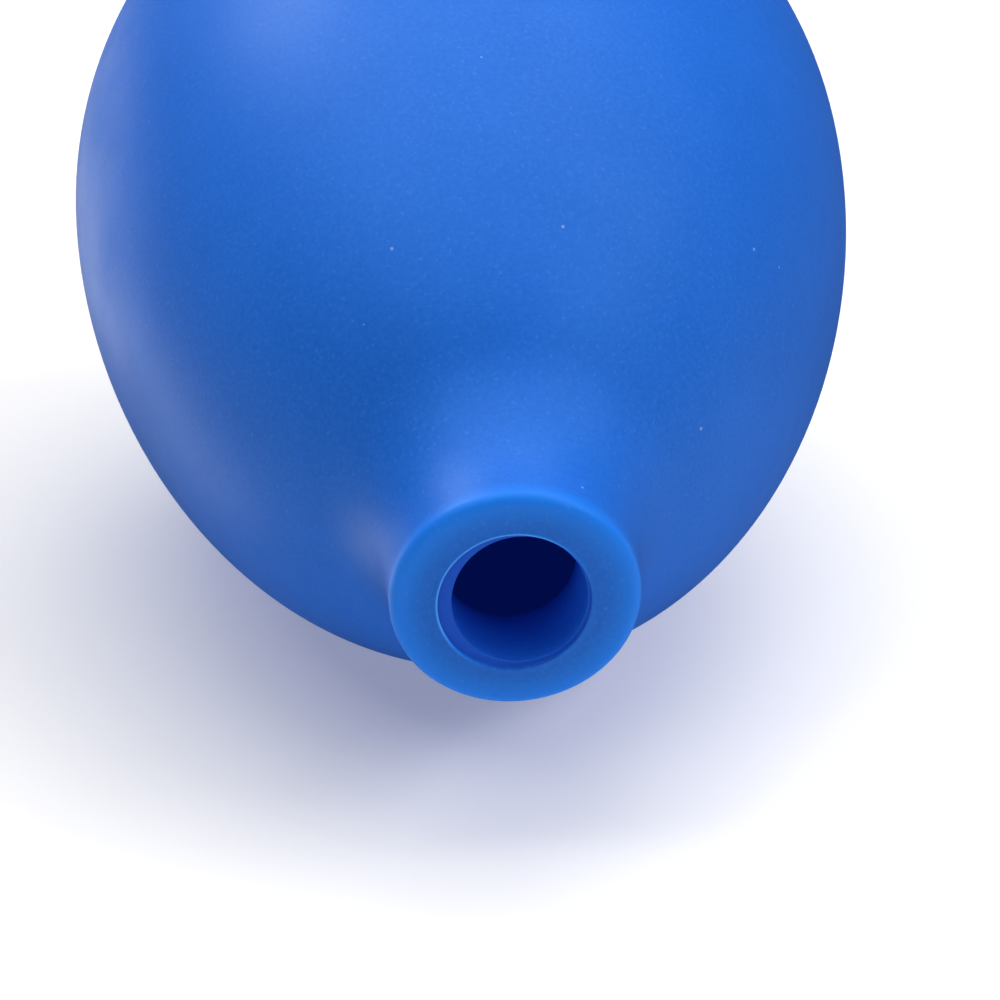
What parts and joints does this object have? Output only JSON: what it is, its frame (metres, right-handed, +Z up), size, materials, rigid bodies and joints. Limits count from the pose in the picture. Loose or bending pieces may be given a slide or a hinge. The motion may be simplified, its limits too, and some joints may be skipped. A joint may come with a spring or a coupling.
{
  "type": "case opening friction ball",
  "caption": "Hollow egg-shaped rubber bulb with a short open neck, pushed and twisted on a watch's screw back to turn it.",
  "frame": {"origin": "centre of the bulb's box, on the surface it lies on", "axes": "+Z up with the bulb lying on its belly; -Y towards the open neck; X across the bulb"},
  "size_m": [0.0598, 0.092, 0.0603],
  "materials": {
    "bulb_rubber": "satin moulded rubber",
    "mouth_rubber": "smooth moulded rubber"
  },
  "bodies": {
    "bulb": {"belly": "bulb_rubber", "shoulder": "bulb_rubber"},
    "left_wall": {"grip_wall_left": "bulb_rubber"},
    "right_wall": {"grip_wall_right": "bulb_rubber"},
    "crown": {"crown": "bulb_rubber"},
    "neck": {"neck": "bulb_rubber", "mouth_ring": "mouth_rubber"}
  },
  "joints": [
    {"name": "left_wall_press", "type": "slide", "parent": "bulb", "child": "left_wall", "axis": [1, 0, 0], "range_m": [0, 0.006], "stiffness_N_per_m": 600},
    {"name": "right_wall_press", "type": "slide", "parent": "bulb", "child": "right_wall", "axis": [-1, 0, 0], "range_m": [0, 0.006], "stiffness_N_per_m": 600},
    {"name": "crown_press", "type": "slide", "parent": "bulb", "child": "crown", "axis": [0, -0.9881, -0.154], "range_m": [0, 0.0055], "stiffness_N_per_m": 1000},
    {"name": "neck_bend", "type": "hinge", "parent": "bulb", "child": "neck", "pos_m": [0, -0.0256, 0.02469], "axis": [1, 0, 0], "range_deg": [-12, 12], "stiffness_Nm_per_rad": 0.5}
  ]
}
